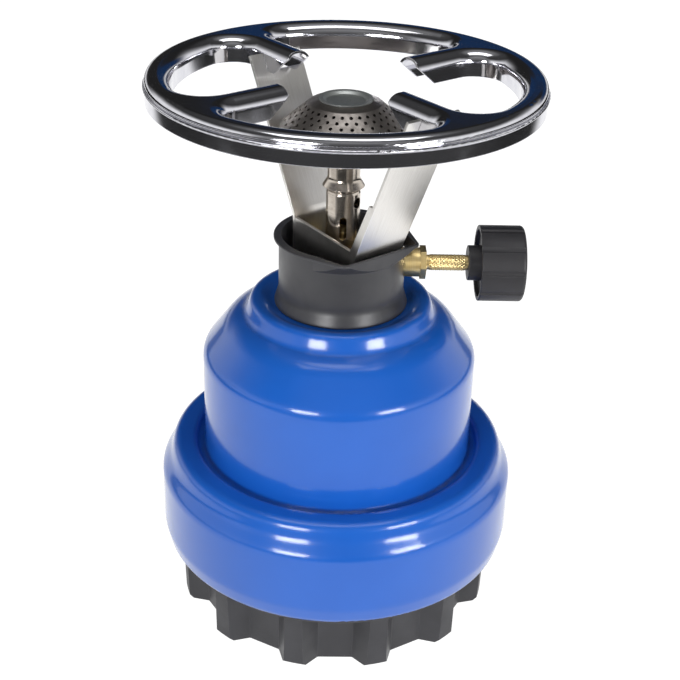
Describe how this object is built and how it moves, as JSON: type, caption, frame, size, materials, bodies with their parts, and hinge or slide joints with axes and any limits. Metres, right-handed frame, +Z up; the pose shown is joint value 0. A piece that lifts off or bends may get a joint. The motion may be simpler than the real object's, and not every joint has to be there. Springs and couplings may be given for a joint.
{
  "type": "camping gas stove",
  "caption": "Single-burner camping gas stove: toothed foot, domed blue housing over a pierceable cartridge, collar, two-leg bracket and round pot ring.",
  "frame": {"origin": "middle of the flat face that the foot stands on", "axes": "+Z up along the axis of the housing, +X towards the knob"},
  "size_m": [0.1264, 0.1264, 0.1931],
  "materials": {
    "foot_plastic": "satin black moulded plastic",
    "cartridge_paint": "plain lacquered tinplate",
    "seal_rubber": "matte",
    "blue_enamel": "glossy enamel",
    "zinc_steel": "zinc plated",
    "brass": "turned",
    "stainless": "polished stainless strip",
    "sintered_bronze": "sintered, matte",
    "packing": "matte",
    "knob_plastic": "fine moulded grain",
    "black_paint": "satin",
    "chrome_plate": "polished",
    "nickel_plate": "bright nickel",
    "burner_steel": "warm grey plated steel",
    "cap_steel": "dark satin"
  },
  "bodies": {
    "base": {"base_cup": "foot_plastic", "cartridge": "cartridge_paint"},
    "seal": {"cartridge_seal": "seal_rubber"},
    "upper": {"housing_shell": "blue_enamel", "lock_ring": "zinc_steel", "valve_washer": "zinc_steel", "valve_locknut": "zinc_steel", "seal_retainer": "brass", "piercing_needle": "stainless", "gas_filter": "sintered_bronze", "valve_body": "brass", "gland_packing": "packing", "gland_nut": "brass", "collar": "black_paint", "leg_bracket": "stainless", "pot_ring": "chrome_plate", "jet_holder": "nickel_plate", "jet": "brass", "mixing_tube": "nickel_plate", "burner_stem": "nickel_plate", "burner_bowl": "burner_steel", "burner_cone": "burner_steel", "burner_cap": "cap_steel"},
    "needle": {"valve_needle": "stainless"},
    "control": {"spindle": "brass", "knob": "knob_plastic"}
  },
  "joints": [
    {"name": "housing_rise", "type": "slide", "parent": "base", "child": "seal", "axis": [0, 0, 1], "range_m": [0, 0.00534]},
    {"name": "housing_turn", "type": "hinge", "parent": "seal", "child": "upper", "pos_m": [0, 0, 0.09], "axis": [0, 0, 1], "range_deg": [0, 80]},
    {"name": "needle_travel", "type": "slide", "parent": "upper", "child": "needle", "axis": [1, 0, 0], "range_m": [0, 0.0012]},
    {"name": "knob_turn", "type": "hinge", "parent": "needle", "child": "control", "pos_m": [0.042, 0, 0.1282], "axis": [1, 0, 0], "range_deg": [0, 540.5]}
  ],
  "couplings": [
    {"joint": "housing_rise", "follows": "housing_turn", "m_per_rad": 0.0038197},
    {"joint": "knob_turn", "follows": "needle_travel", "rad_per_m": 7854}
  ]
}
